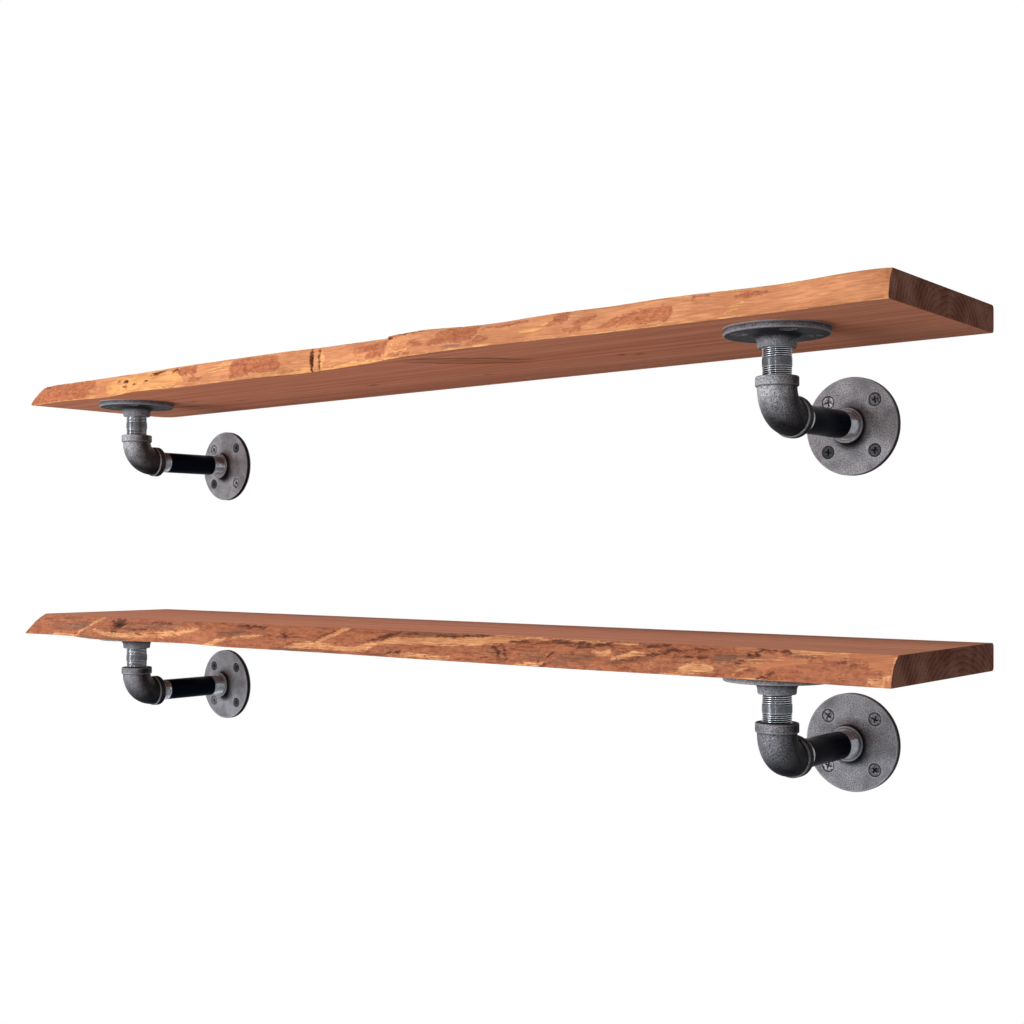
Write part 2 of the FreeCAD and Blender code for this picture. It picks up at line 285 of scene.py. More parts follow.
def threaded_nipple(material):
    """Tree of a nipple along Z: a threaded end, plain pipe and a second threaded end turned over."""
    sizes = ("Length", "Radius", "Bore", "Near Thread", "Far Thread", "Pitch", "Depth", "Taper",
             "Taper Length", "Chamfer", "Wear")
    tree, size = new_tree("threaded_nipple", sizes)
    shift = add(tree, "ShaderNodeCombineXYZ", {"Z": size["Length"]})
    far = add(tree, "GeometryNodeTransform", {
        "Geometry": threaded_end(tree, size, size["Far Thread"]), "Translation": shift,
        "Rotation": (math.pi, 0.0, 0.0)})
    far_line = add(tree, "ShaderNodeMath", {0: size["Length"], 1: size["Far Thread"]}, operation="SUBTRACT")
    whole = add(tree, "GeometryNodeJoinGeometry")
    for radius in (size["Radius"], size["Bore"]):
        def plain(along, around):
            height = add(tree, "ShaderNodeMix", {"Factor": along, "A": size["Near Thread"], "B": far_line})
            return radius, height, {"bare_thread": size["Wear"]}
        tree.links.new(turned_wall(tree, 2, plain).outputs[0], whole.inputs[0])
    tree.links.new(threaded_end(tree, size, size["Near Thread"]).outputs[0], whole.inputs[0])
    tree.links.new(far.outputs[0], whole.inputs[0])
    welded = add(tree, "GeometryNodeMergeByDistance", {"Geometry": whole, "Distance": pipe_seam_gap})
    real = add(tree, "GeometryNodeRealizeInstances", {"Geometry": welded})
    finish = add(tree, "GeometryNodeSetMaterial", {"Geometry": real, "Material": material})
    add(tree, "NodeGroupOutput", {"Geometry": finish})
    return tree


def grown_mesh(tree, values, crease, start=None):
    """Plain smooth mesh grown by a geometry tree at given sizes, faces turned outwards and creases kept."""
    carrier = bpy.data.objects.new(tree.name, start or bpy.data.meshes.new(tree.name))
    bpy.context.scene.collection.objects.link(carrier)
    modifier = carrier.modifiers.new(tree.name, "NODES")
    modifier.node_group = tree
    for socket in tree.interface.items_tree:
        if socket.in_out == "INPUT" and socket.name in values:
            modifier[socket.identifier] = values[socket.name]
    depsgraph = bpy.context.evaluated_depsgraph_get()
    mesh = bpy.data.meshes.new_from_object(
        carrier.evaluated_get(depsgraph), preserve_all_data_layers=True, depsgraph=depsgraph)
    bpy.data.objects.remove(carrier)
    shell = bmesh.new()
    shell.from_mesh(mesh)
    bmesh.ops.recalc_face_normals(shell, faces=shell.faces)
    shell.to_mesh(mesh)
    shell.free()
    mesh.shade_smooth()
    mesh.set_sharp_from_angle(angle=crease)
    return mesh


def place_piece(name, mesh, turn, spot, node):
    """A finished piece from a mesh drawn about the origin, standing for a CAD node."""
    mesh.transform(Matrix.Translation(spot) @ turn)
    piece = bpy.data.objects.new(name, mesh)
    bpy.context.scene.collection.objects.link(piece)
    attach(piece, "root")
    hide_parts(node)


upright = Matrix.Identity(4)
towards_room = Matrix.Rotation(math.radians(90), 4, "X")
thread_crease = math.radians(60)
nipple_tree = threaded_nipple(black_lacquered_steel())
for bracket in brackets:
    for pipe, axis, turn, threads, wear in (("arm_pipe", 1, towards_room, arm_threads, arm_wear),
                                            ("riser_pipe", 2, upright, riser_threads, riser_wear)):
        low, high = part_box(f"{bracket}_{pipe}")
        start = (low + high) / 2
        start[axis] = high.y if pipe == "arm_pipe" else low.z
        nipple = grown_mesh(nipple_tree, {
            "Length": high[axis] - low[axis], "Radius": (high.x - low.x) / 2, "Bore": pipe_bore / 2,
            "Near Thread": threads[0], "Far Thread": threads[1], "Pitch": pipe_thread_pitch, "Wear": wear,
            "Depth": pipe_thread_depth, "Taper": pipe_taper, "Taper Length": pipe_taper_length,
            "Chamfer": pipe_end_chamfer}, thread_crease)
        place_piece(f"{bracket}_{pipe}_threaded", nipple, turn, start, f"{bracket}_{pipe}")


# Wall screws and shelf screws
# Flat-head wood screws of plated steel with a cross recess and a rolled thread, four to a flange. The heads
# sit in the flange's countersinks; one set of four goes into the wall, the other up into the board.

screw_head = 12.8 * mm
screw_head_edge = 0.35 * mm
# Width over which the painted shadow fades in from the head's rim
seam_shadow_width = 1.4 * mm
screw_neck = 4.2 * mm
screw_grip = 6.05 * mm
screw_core = 3.7 * mm
screw_crest = 5.5 * mm
screw_pitch = 2.6 * mm
screw_point = 6 * mm
screw_sides = 32
screw_rows_per_turn = 8
recess_span = 6.8 * mm
recess_width = 1.7 * mm
recess_depth = 2.4 * mm
recess_draft_share = 0.45
thread_flank_share = 2.2
flange_screws = 4
hole_circle = 68.5 * mm
first_seed = 3
seeds_per_bracket = 5


def plated_steel():
    """Zinc-plated steel under a thin dark film, rubbed bright on the high spots where the driver slipped.
    Each head has tarnished to its own degree; its recess and the seam round its rim are darkened towards near
    black as painted shade."""
    wear_mark = 2.2 * mm
    corner_reach = 1.5 * mm
    material, tree, shader, place = new_material("plated_screw_steel")
    tarnish = add(tree, "ShaderNodeAttribute", attribute_name="tarnish").outputs["Fac"]
    wear = add(tree, "ShaderNodeTexNoise", {
        "Vector": place, "Scale": 1 / wear_mark, "Detail": 4.0, "Roughness": 0.65})
    rubbed = add(tree, "ShaderNodeMapRange", {"Value": wear, "From Min": 0.36, "From Max": 0.64})
    # Painted shade: the cross recess, found by ambient occlusion, and the head's rim go towards near black.
    corner = add(tree, "ShaderNodeAmbientOcclusion", {"Distance": corner_reach}, samples=6, only_local=True)
    hollow_shade = add(tree, "ShaderNodeMapRange", {
        "Value": corner.outputs["AO"], "From Min": 0.45, "From Max": 0.92, "To Min": 0.97, "To Max": 0.0})
    rim = add(tree, "ShaderNodeAttribute", attribute_name="rim_shade").outputs["Fac"]
    head_shade = add(tree, "ShaderNodeMath", {0: hollow_shade, 1: rim}, operation="MAXIMUM")
    bright = add(tree, "ShaderNodeMix", {
        "Factor": tarnish, "A": linear("#c6c7cc"), "B": linear("#43454b")}, data_type="RGBA")
    dullness = add(tree, "ShaderNodeMapRange", {"Value": wear, "To Min": 0.6, "To Max": 0.42})
    coats = ((rubbed, bright), (head_shade, "#060607"))
    finish_material(tree, shader, "#303136", coats, dullness, wear, strength=0.15, relief=0.1 * mm)
    shader.inputs["Metallic"].default_value = 0.25
    shader.inputs["Specular IOR Level"].default_value = 0.1
    return material


def screw_mesh(length):
    """One screw with its head's top on z = 0 and its point downwards. A point attribute is 1 on the head's
    rim, where the shadow of the countersink's seam is painted.
    """
    shell = bmesh.new()
    head_shade = shell.verts.layers.float.new("rim_shade")

    def ring(radius_at, height):
        angles = [2 * math.pi * i / screw_sides for i in range(screw_sides)]
        spokes = [(radius_at(a), a) for a in angles]
        return [shell.verts.new((r * math.cos(a), r * math.sin(a), height)) for r, a in spokes]

    def thread_radius(angle, height):
        below_grip = -screw_grip - height
        to_point = min(1.0, (length + height) / screw_point)
        phase = (below_grip / screw_pitch + angle / (2 * math.pi)) % 1
        ridge = max(0.0, 1 - abs(2 * phase - 1) * thread_flank_share)
        started = min(1.0, below_grip / screw_pitch)
        return to_point * (screw_core / 2 + ridge * started * (screw_crest - screw_core) / 2)

    top = ring(lambda a: screw_head / 2 - seam_shadow_width, 0)
    rings = [top, ring(lambda a: screw_head / 2 - screw_head_edge, 0)]
    rings.append(ring(lambda a: screw_head / 2, -screw_head_edge))
    for corner in rings[1] + rings[2]:
        corner[head_shade] = 1.0
    rings.append(ring(lambda a: screw_neck / 2, -screw_head_edge - (screw_head - screw_neck) / 2))
    rings.append(ring(lambda a: screw_neck / 2, -screw_grip))
    row_count = round((length - screw_grip) / screw_pitch * screw_rows_per_turn)
    for row in range(1, row_count):
        height = -screw_grip - (length - screw_grip) * row / row_count
        rings.append(ring(lambda a: thread_radius(a, height), height))
    point = shell.verts.new((0, 0, -length))
    for upper, lower in zip(rings, rings[1:]):
        for i in range(screw_sides):
            j = (i + 1) % screw_sides
            shell.faces.new((upper[i], lower[i], lower[j], upper[j]))
    for i in range(screw_sides):
        shell.faces.new((rings[-1][i], point, rings[-1][(i + 1) % screw_sides]))
    arm = recess_span / 2
    half = recess_width / 2
    quarter = [(arm, -half), (arm, half), (half, half)]
    cross = [Matrix.Rotation(math.pi / 2 * q, 2) @ Vector(p) for q in range(4) for p in quarter]
    mouth = [shell.verts.new((p.x, p.y, 0)) for p in cross]
    floor = [shell.verts.new((p.x * recess_draft_share, p.y * recess_draft_share, -recess_depth))
             for p in cross]
    for i in range(len(cross)):
        j = (i + 1) % len(cross)
        shell.faces.new((mouth[i], floor[i], floor[j], mouth[j]))
    shell.faces.new(floor)
    rim = [shell.edges.get((top[i], top[(i + 1) % screw_sides])) for i in range(screw_sides)]
    lips = [shell.edges.get((mouth[i], mouth[(i + 1) % len(cross)])) for i in range(len(cross))]
    bmesh.ops.triangle_fill(shell, edges=rim + lips, use_beauty=True)
    mesh = bpy.data.meshes.new("one_screw")
    shell.to_mesh(mesh)
    shell.free()
    return mesh


def screws_on_circle(material):
    """Tree that drives like screws on a flange's hole circle. Each stops at its own turn, which also sets how
    far it has tarnished."""
    full_tarnish_turn = 1.6 * math.pi
    tree, size = new_tree("screws_on_circle", ("Circle Radius", "Seat Height", "Seed"), takes_mesh=True)
    circle = add(tree, "GeometryNodeMeshCircle", {
        "Vertices": flange_screws, "Radius": size["Circle Radius"]})
    seat = add(tree, "ShaderNodeCombineXYZ", {"Z": size["Seat Height"]})
    seats = add(tree, "GeometryNodeTransform", {
        "Geometry": circle, "Translation": seat, "Rotation": (0.0, 0.0, math.pi / flange_screws)})
    seed = add(tree, "FunctionNodeFloatToInt", {0: size["Seed"]})
    stop = add(tree, "FunctionNodeRandomValue", {
        "Min": 0.0, "Max": 2 * math.pi, "Seed": seed}, data_type="FLOAT")
    turn = add(tree, "ShaderNodeCombineXYZ", {"Z": stop})
    driven = add(tree, "GeometryNodeInstanceOnPoints", {
        "Points": seats, "Instance": size["Geometry"], "Rotation": turn})
    tarnish = add(tree, "ShaderNodeMath", {0: stop, 1: full_tarnish_turn}, operation="DIVIDE")
    aged = add(tree, "GeometryNodeStoreNamedAttribute", {
        "Geometry": driven, "Name": "tarnish", "Value": tarnish}, data_type="FLOAT", domain="INSTANCE")
    real = add(tree, "GeometryNodeRealizeInstances", {"Geometry": aged})
    finish = add(tree, "GeometryNodeSetMaterial", {"Geometry": real, "Material": material})
    add(tree, "NodeGroupOutput", {"Geometry": finish})
    return tree


hanging_down = Matrix.Rotation(math.radians(180), 4, "X")
screw_crease = math.radians(40)
screw_tree = screws_on_circle(plated_steel())
for count, bracket in enumerate(brackets):
    for group, axis, turn in (("wall_screws", 1, towards_room), ("shelf_screws", 2, hanging_down)):
        low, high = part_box(f"{bracket}_{group}")
        seat = (low + high) / 2
        seat[axis] = 0 if group == "wall_screws" else low.z + screw_grip
        seed = float(first_seed + seeds_per_bracket * count + axis)
        screws = grown_mesh(screw_tree, {
            "Circle Radius": hole_circle / 2, "Seat Height": screw_grip, "Seed": seed},
            screw_crease, screw_mesh(high[axis] - low[axis]))
        place_piece(f"{bracket}_{group}_driven", screws, turn, seat, f"{bracket}_{group}")


# The two boards
# Red softwood planks an inch thick, planed, sawn square at the ends and oiled. Their front edge is as the
# tree grew: peeled sapwood, scraps of inner bark, a crack and a burl on the upper, a knot hole on the lower.

# The skin's places along the board, crowded at its ends, its rows up the live edge, those of them that go
# down the back, and the shares of its width at which lines run along the faces
edge_step = 1.0 * mm
end_steps = np.array((0.0, 0.15, 0.5, 1.0, 1.7, 2.6)) * mm
edge_rows = 36
back_rows = (36, 34, 32, 30, 28, 22, 14, 8, 6, 4, 2, 0)
face_shares = (0.012, 0.05, 0.2, 0.6)
sanded_corner = 0.5 * mm
# A board's finishes, by number
planed, waney, sawn = range(3)
ray_reach = 0.1
edge_crease = math.radians(48)
# What a place far outside every stroke is given, in millimetres
far_away = -9.0
seeds_per_board = 7


def board_section(node):
    """Places along a CAD board and up its edge, with the heights, front and back read off it there."""
    low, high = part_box(node)
    mesh = nodes[node].data
    solid = BVHTree.FromPolygons([v.co for v in mesh.vertices], [p.vertices for p in mesh.polygons])
    inside = 0.02 * mm
    crowded = math.ceil(end_steps[-1] / edge_step)
    plain = np.linspace(low.x, high.x, round((high.x - low.x) / edge_step))[crowded:-crowded]
    xs = np.concatenate((low.x + end_steps, plain, high.x - end_steps[::-1]))
    even = np.arange(edge_rows + 1) / edge_rows
    height_shares = (even + (1 - np.cos(np.pi * even)) / 2) / 2
    front = np.zeros((len(xs), len(height_shares)))
    back = np.zeros_like(front)
    zs = np.zeros_like(front)
    # A line along the board that misses its pilot holes
    clear_y = high.y - (high.y - low.y) / 3
    for i, x in enumerate(np.clip(xs, low.x + inside, high.x - inside)):
        base = solid.ray_cast(Vector((x, clear_y, low.z - ray_reach)), Vector((0, 0, 1)))[0].z
        crown = solid.ray_cast(Vector((x, clear_y, high.z + ray_reach)), Vector((0, 0, -1)))[0].z
        zs[i] = base + height_shares * (crown - base)
        for k, z in enumerate(np.clip(zs[i], base + inside, crown - inside)):
            front[i, k] = solid.ray_cast(Vector((x, low.y - ray_reach, z)), Vector((0, 1, 0)))[0].y
            back[i, k] = solid.ray_cast(Vector((x, high.y + ray_reach, z)), Vector((0, -1, 0)))[0].y
    return xs, height_shares, zs, front, back


def board_mesh(name, xs, zs, front, back, marks):
    """A board as one closed skin: live edge, faces and back run along it, flat sawn faces close its ends."""
    stations, rows = front.shape
    across = [(front[:, k], zs[:, k]) for k in range(rows)]
    across += [(front[:, -1] + (back[:, -1] - front[:, -1]) * share, zs[:, -1]) for share in face_shares]
    across += [(back[:, k], zs[:, k]) for k in back_rows]
    across += [(front[:, 0] + (back[:, 0] - front[:, 0]) * share, zs[:, 0]) for share in face_shares[::-1]]
    ring = len(across)
    points = np.zeros((stations, ring, 3))
    points[:, :, 0] = xs[:, None]
    for r, (y, z) in enumerate(across):
        points[:, r, 1] = y
        points[:, r, 2] = z
    for end in (0, -1):
        away = points[end, :, 1:] - points[end, :, 1:].mean(axis=0)
        points[end, :, 1:] -= np.clip(away, -sanded_corner, sanded_corner)
    faces = [tuple(range(ring)), tuple(range((stations - 1) * ring, stations * ring))[::-1]]
    finishes = [sawn, sawn]
    for s in range(stations - 1):
        for r in range(ring):
            q = (r + 1) % ring
            faces.append((s * ring + r, (s + 1) * ring + r, (s + 1) * ring + q, s * ring + q))
            finishes.append(waney if r < rows - 1 else planed)
    mesh = bpy.data.meshes.new(name)
    mesh.from_pydata(points.reshape(-1, 3).tolist(), [], faces)
    mesh.polygons.foreach_set("material_index", finishes)
    for mark, values in marks.items():
        field = np.full((stations, ring), far_away, np.float32)
        field[:, :rows] = values
        mesh.attributes.new(mark, "FLOAT", "POINT").data.foreach_set("value", field.ravel())
    mesh.shade_smooth()
    mesh.set_sharp_from_angle(angle=edge_crease)
    return mesh


def drift(along, up, length, height, seed, octaves=4):
    """Smooth noise from -1 to 1 over the edge, in lumps of about a length by a height."""
    octave_fade = 1.0
    octave_step = 2.0
    values = [noise.fractal(Vector((a / length, u / height, seed)), octave_fade, octave_step, octaves)
              for a, u in zip(along.ravel(), up.ravel())]
    return np.array(values).reshape(along.shape)


def strokes(along, up, thickness, lines):
    """How far inside the nearest brush stroke each place lies, in millimetres, and below 0 outside them all.
    A stroke is a list of points: place along the board, share of its height, half the stroke's width."""
    field = np.full(along.shape, far_away)
    for line in lines:
        for (x, share, width), (next_x, next_share, next_width) in zip(line, line[1:]):
            run = next_x - x
            rise = (next_share - share) * thickness
            foot = ((along - x) * run + (up - share * thickness) * rise) / (run * run + rise * rise)
            foot = np.clip(foot, 0, 1)
            gap = np.hypot(along - x - foot * run, up - share * thickness - foot * rise)
            field = np.maximum(field, width + (next_width - width) * foot - gap)
    return field


def step(field, low, high):
    """Smooth step from 0 to 1 as a field goes from low to high."""
    t = np.clip((field - low) / (high - low), 0, 1)
    return t * t * (3 - 2 * t)


def along_grain(tree, place, length, width, detail, roughness):
    """Noise drawn out along the board, in streaks of about a length by a width."""
    stretched = add(tree, "ShaderNodeMapping", {
        "Vector": place, "Scale": (1 / length, 1 / width, 1 / width)})
    return add(tree, "ShaderNodeTexNoise", {
        "Vector": stretched, "Scale": 1.0, "Detail": detail, "Roughness": roughness})


def growth_rings(tree, place, pith, spacing, wobble_reach):
    """Dark latewood lines, 0 to 1, on rings about a pith that runs along the board at a place in Y and Z."""
    wobble_length = 400 * mm
    wobble_width = 20 * mm
    latewood_power = 2.5
    wobble = along_grain(tree, place, wobble_length, wobble_width, detail=3.0, roughness=0.5)
    away = add(tree, "ShaderNodeVectorMath", {0: place, 1: (0.0, pith[0], pith[1])}, operation="SUBTRACT")
    across = add(tree, "ShaderNodeVectorMath", {0: away, 1: (0.0, 1.0, 1.0)}, operation="MULTIPLY")
    reach = add(tree, "ShaderNodeVectorMath", {0: across}, operation="LENGTH").outputs["Value"]
    shift = add(tree, "ShaderNodeMath", {0: wobble, 1: wobble_reach}, operation="MULTIPLY")
    radius = add(tree, "ShaderNodeMath", {0: reach, 1: shift}, operation="ADD")
    count = add(tree, "ShaderNodeMath", {0: radius, 1: spacing}, operation="DIVIDE")
    part = add(tree, "ShaderNodeMath", {0: count}, operation="FRACT")
    return add(tree, "ShaderNodeMath", {0: part, 1: latewood_power}, operation="POWER")


def planed_cedar(name, pith, face, stains, branches):
    """Oiled red softwood planed along the grain: straight pinkish streaks, faint growth rings, small dark
    knots. Stains and branches cut lengthwise go into one face, at a height. Each is its place in X and Y, its
    half length and half width in millimetres, its slant in degrees and its depth of tone."""
    streak = (700 * mm, 11 * mm)
    line = (260 * mm, 2.6 * mm)
    fibre = (60 * mm, 1.1 * mm)
    ring_spacing = 6 * mm
    ring_wobble = 9 * mm
    stain_wave = 15 * mm
    stain_wander = (20 * mm, 5 * mm, 0.0)
    stain_depth = 15 * mm
    branch_rim = 0.75
    material, tree, shader, place = new_material(name)
    streaks, lines, fibres = [along_grain(tree, place, *size, detail=3.0, roughness=0.6)
                              for size in (streak, line, fibre)]
    tone = add(tree, "ShaderNodeMapRange", {"Value": streaks, "From Min": 0.3, "From Max": 0.7})
    rings = growth_rings(tree, place, pith, ring_spacing, ring_wobble)
    ring_tone = add(tree, "ShaderNodeMath", {0: rings, 1: 0.3}, operation="MULTIPLY")
    line_tone = add(tree, "ShaderNodeMapRange", {
        "Value": lines, "From Min": 0.5, "From Max": 0.72, "To Max": 0.65})
    fibre_tone = add(tree, "ShaderNodeMapRange", {
        "Value": fibres, "From Min": 0.48, "From Max": 0.72, "To Max": 0.5})
    wander = add(tree, "ShaderNodeTexNoise", {"Vector": place, "Scale": 1 / stain_wave, "Detail": 3.0})
    centred = add(tree, "ShaderNodeVectorMath", {
        0: wander.outputs["Color"], 1: (0.5, 0.5, 0.5)}, operation="SUBTRACT")
    pushed = add(tree, "ShaderNodeVectorMath", {0: centred, 1: stain_wander}, operation="MULTIPLY")
    moved = add(tree, "ShaderNodeVectorMath", {0: place, 1: pushed}, operation="ADD")
    dark = 0.0
    heart = 0.0
    for mark in stains + branches:
        x, y, half_length, half_width, slant, depth = mark
        framed = add(tree, "ShaderNodeMapping", {
            "Vector": moved, "Location": (x * mm, y * mm, face), "Rotation": (0.0, 0.0, math.radians(slant)),
            "Scale": (half_length * mm, half_width * mm, stain_depth)}, vector_type="TEXTURE")
        reach = add(tree, "ShaderNodeVectorMath", {0: framed}, operation="LENGTH").outputs["Value"]
        spot = add(tree, "ShaderNodeMapRange", {
            "Value": reach, "From Min": 0.1, "From Max": 1.0, "To Min": depth, "To Max": 0.0})
        if mark in branches:
            heart = spot
            beside = add(tree, "ShaderNodeMath", {
                0: add(tree, "ShaderNodeSeparateXYZ", {0: framed}).outputs["Y"]}, operation="ABSOLUTE")
            flank = add(tree, "ShaderNodeMapRange", {
                "Value": beside, "From Min": 0.1, "From Max": 0.6, "To Max": depth})
            from_rim = add(tree, "ShaderNodeMath", {0: reach, 1: branch_rim}, operation="SUBTRACT")
            off_rim = add(tree, "ShaderNodeMath", {0: from_rim}, operation="ABSOLUTE")
            spot = add(tree, "ShaderNodeMapRange", {
                "Value": off_rim, "From Min": 0.02, "From Max": 0.22, "To Min": flank, "To Max": 0.0})
        dark = add(tree, "ShaderNodeMath", {0: spot, 1: dark}, operation="MAXIMUM")
    dullness = add(tree, "ShaderNodeMapRange", {"Value": fibres, "To Min": 0.55, "To Max": 0.75})
    coats = ((tone, "#d8997d"), (ring_tone, "#a4664d"), (line_tone, "#9b614a"), (fibre_tone, "#925a45"),
             (heart, "#94593a"), (dark, "#3f2219"))
    finish_material(tree, shader, "#bb775b", coats, dullness, fibres, strength=0.12, relief=0.3 * mm)
    shader.inputs["Specular IOR Level"].default_value = 0.005
    return material


def sawn_end(name, pith):
    """End grain: it drinks the oil and goes dark, with growth rings as arcs about the pith that fade in
    blotches, and dark pores."""
    ring_spacing = 5.5 * mm
    ring_wobble = 7 * mm
    pore = 1.3 * mm
    blotch = 22 * mm
    material, tree, shader, place = new_material(name)
    rings = growth_rings(tree, place, pith, ring_spacing, ring_wobble)
    pores = add(tree, "ShaderNodeTexNoise", {
        "Vector": place, "Scale": 1 / pore, "Detail": 3.0, "Roughness": 0.7})
    blotches = add(tree, "ShaderNodeTexNoise", {"Vector": place, "Scale": 1 / blotch, "Detail": 3.0})
    cloud = add(tree, "ShaderNodeMapRange", {"Value": blotches, "From Min": 0.3, "From Max": 0.7})
    fade = add(tree, "ShaderNodeMapRange", {
        "Value": blotches, "From Min": 0.35, "From Max": 0.65, "To Min": 0.95, "To Max": 0.3})
    ring_tone = add(tree, "ShaderNodeMath", {0: rings, 1: fade}, operation="MULTIPLY")
    specks = add(tree, "ShaderNodeMapRange", {
        "Value": pores, "From Min": 0.48, "From Max": 0.7, "To Max": 0.7})
    dullness = add(tree, "ShaderNodeMapRange", {"Value": pores, "To Min": 0.65, "To Max": 0.9})
    coats = ((cloud, "#e8a893"), (ring_tone, "#7d4636"), (specks, "#52301f"))
    finish_material(tree, shader, "#b4735f", coats, dullness, pores, strength=0.3, relief=0.4 * mm)
    shader.inputs["Specular IOR Level"].default_value = 0.03
    return material


def waney_edge(name, hues, line_depth):
    """The outside of the tree under its bark: smooth sapwood, scraps of red inner bark, pale torn fibre with
    a few painted highlights, dull weathered skin and dark cracks that deepen into painted shade, each inside
    its own strokes, with ragged rims edged by a dark line of painted shade, and thin flake lines."""
    # Length along the edge, height and detail of each pattern
    fleck = (7 * mm, 3 * mm, 5.0)
    fibre = (30 * mm, 1.5 * mm, 4.0)
    mottle = (12 * mm, 7 * mm, 5.0)
    flake = (13 * mm, 6 * mm, 3.0)
    crumb = (3.2 * mm, 1.6 * mm, 3.0)
    cloud = (70 * mm, 16 * mm, 3.0)
    streak = (42 * mm, 3.6 * mm, 5.0)
    flake_steps = 5.0
    # In millimetres: the bites in every rim, the reach of the dark line of painted shade along it, and how
    # far in a crack the painted shade is darkest
    nibble = 5.0
    shade_line_reach = 0.5
    crack_shade_depth = 3.5
    material, tree, shader, place = new_material(name)
    flecks, fibres, mottles, flakes, crumbs, clouds, streaks = [
        along_grain(tree, place, *size, roughness=0.62)
        for size in (fleck, fibre, mottle, flake, crumb, cloud, streak)]
    # What tears each layer's rim, how far it tears and how softly it ends, in millimetres
    rims = {"bark": (flecks, 9.0, 0.5), "pale": (fibres, 11.0, 0.7), "grey": (crumbs, 12.0, 0.9),
            "dark": (flecks, 8.0, 0.9)}
    fibre_tone = add(tree, "ShaderNodeMapRange", {"Value": fibres, "From Min": 0.3, "From Max": 0.7})
    mottle_tone = add(tree, "ShaderNodeMapRange", {"Value": mottles, "From Min": 0.39, "From Max": 0.61})
    levels = add(tree, "ShaderNodeMath", {0: flakes, 1: flake_steps}, operation="MULTIPLY")
    winding = add(tree, "ShaderNodeMath", {0: levels, 1: 0.5}, operation="PINGPONG")
    terrace = add(tree, "ShaderNodeMath", {0: levels}, operation="FLOOR")
    flake_tone = add(tree, "ShaderNodeMapRange", {"Value": terrace, "From Min": 1.0, "From Max": 3.0})
    bark_tone = add(tree, "ShaderNodeMix", {"Factor": 0.5, "A": mottle_tone, "B": flake_tone})
    flake_lines = add(tree, "ShaderNodeMapRange", {
        "Value": winding, "From Min": 0.03, "From Max": 0.22, "To Min": line_depth, "To Max": 0.0})
    pits = add(tree, "ShaderNodeMapRange", {
        "Value": crumbs, "From Min": 0.54, "From Max": 0.7, "To Max": line_depth})
    scars = add(tree, "ShaderNodeMath", {0: flake_lines, 1: pits}, operation="MAXIMUM")
    weathered = add(tree, "ShaderNodeMapRange", {
        "Value": streaks, "From Min": 0.47, "From Max": 0.36, "To Max": 1.3 * line_depth})
    worn = add(tree, "ShaderNodeMapRange", {
        "Value": streaks, "From Min": 0.54, "From Max": 0.64, "To Max": 0.9 * line_depth})
    pale_cover = add(tree, "ShaderNodeMapRange", {
        "Value": mottles, "From Min": 0.36, "From Max": 0.56, "To Min": 0.45, "To Max": 1.0})
    grey_cover = add(tree, "ShaderNodeMapRange", {
        "Value": streaks, "From Min": 0.6, "From Max": 0.42, "To Min": 0.15, "To Max": 0.95})
    bark_cover = add(tree, "ShaderNodeMapRange", {
        "Value": flecks, "From Min": 0.6, "From Max": 0.44, "To Min": 0.5, "To Max": 1.0})
    covers = {"bark": bark_cover, "pale": pale_cover, "grey": grey_cover}
    sapwood, sunlit_sapwood = hues["sapwood"]
    coats = [(fibre_tone, sunlit_sapwood)]
    for layer, (tearing, rag, softness) in rims.items():
        stroke = add(tree, "ShaderNodeAttribute", attribute_name=layer).outputs["Fac"]
        dim, bright = hues[layer]
        tone = bark_tone if layer == "bark" else fibre_tone
        tint = add(tree, "ShaderNodeMix", {
            "Factor": tone, "A": linear(dim), "B": linear(bright)}, data_type="RGBA")
        if layer == "bark":
            for cover, shade in ((weathered, hues["grey"][0]), (worn, hues["pale"][0]), (scars, "#542818")):
                tint = add(tree, "ShaderNodeMix", {
                    "Factor": cover, "A": tint, "B": linear(shade)}, data_type="RGBA")
        # Painted shade: cracks and the knot hole go towards near black the further inside their stroke.
        if layer == "dark":
            depth = add(tree, "ShaderNodeMapRange", {"Value": stroke, "From Max": crack_shade_depth})
            tint = add(tree, "ShaderNodeMix", {
                "Factor": depth, "A": tint, "B": linear("#2a140b")}, data_type="RGBA")
        ragged = add(tree, "ShaderNodeMapRange", {"Value": tearing, "To Min": -rag / 2, "To Max": rag / 2})
        nibbled = add(tree, "ShaderNodeMapRange", {
            "Value": flecks, "To Min": -nibble / 2, "To Max": nibble / 2})
        frayed = add(tree, "ShaderNodeMath", {0: ragged, 1: nibbled}, operation="ADD")
        torn = add(tree, "ShaderNodeMath", {0: frayed, 1: stroke}, operation="ADD")
        mask = add(tree, "ShaderNodeMapRange", {"Value": torn, "From Min": -softness, "From Max": softness})
        if layer in covers:
            mask = add(tree, "ShaderNodeMath", {0: mask, 1: covers[layer]}, operation="MULTIPLY")
        # Painted shade: a dark line runs along the rim of every stroke.
        from_rim = add(tree, "ShaderNodeMath", {0: torn}, operation="ABSOLUTE")
        rim = add(tree, "ShaderNodeMapRange", {
            "Value": from_rim, "From Max": shade_line_reach, "To Min": line_depth, "To Max": 0.0})
        coats += [(mask, tint), (rim, "#7a432f")]
    gloom = add(tree, "ShaderNodeMapRange", {
        "Value": clouds, "From Min": 0.45, "From Max": 0.75, "To Max": 0.45})
    coats.append((gloom, "#9a5638"))
    dullness = add(tree, "ShaderNodeMapRange", {"Value": flecks, "To Min": 0.5, "To Max": 0.8})
    finish_material(tree, shader, sapwood, coats, dullness, flecks, strength=0.4, relief=0.7 * mm)
    shader.inputs["Specular IOR Level"].default_value = 0.12
    return material


